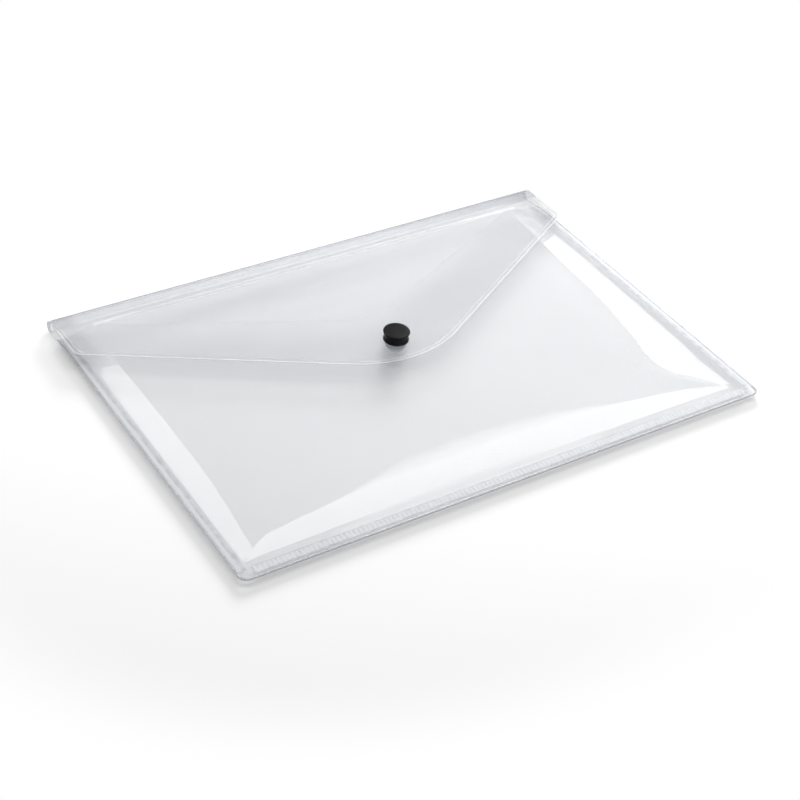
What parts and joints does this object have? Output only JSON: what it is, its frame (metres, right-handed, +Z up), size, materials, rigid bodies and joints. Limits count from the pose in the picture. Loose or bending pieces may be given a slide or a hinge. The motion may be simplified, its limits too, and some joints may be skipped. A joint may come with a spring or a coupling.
{
  "type": "document wallet",
  "caption": "Clear film document wallet: a flat welded pocket with a wide envelope flap that folds over its mouth and closes with a black press stud.",
  "frame": {"origin": "under the middle of the closed wallet, on the surface it lies on", "axes": "+X along the fold, +Y towards the fold, +Z up through the front sheet and the flap"},
  "size_m": [0.36, 0.25, 0.0176],
  "materials": {
    "clear_film": "glossy clear film with a faint blue-grey tint",
    "black_plastic": "satin moulded black",
    "clear_plastic": "translucent natural moulding"
  },
  "bodies": {
    "pocket": {"back_panel": "clear_film", "front_panel": "clear_film", "snap_stud": "clear_plastic", "snap_rivet": "clear_plastic"},
    "spine": {"fold_spine": "clear_film"},
    "flap": {"flap": "clear_film", "snap_cap": "black_plastic", "snap_socket": "clear_plastic"}
  },
  "joints": [
    {"name": "spine_hinge", "type": "hinge", "parent": "pocket", "child": "spine", "pos_m": [0, 0.12383, 0.00117], "axis": [-1, 0, 0], "range_deg": [0, 90]},
    {"name": "flap_hinge", "type": "hinge", "parent": "spine", "child": "flap", "pos_m": [0, 0.12383, 0.00683], "axis": [-1, 0, 0], "range_deg": [0, 85]}
  ]
}
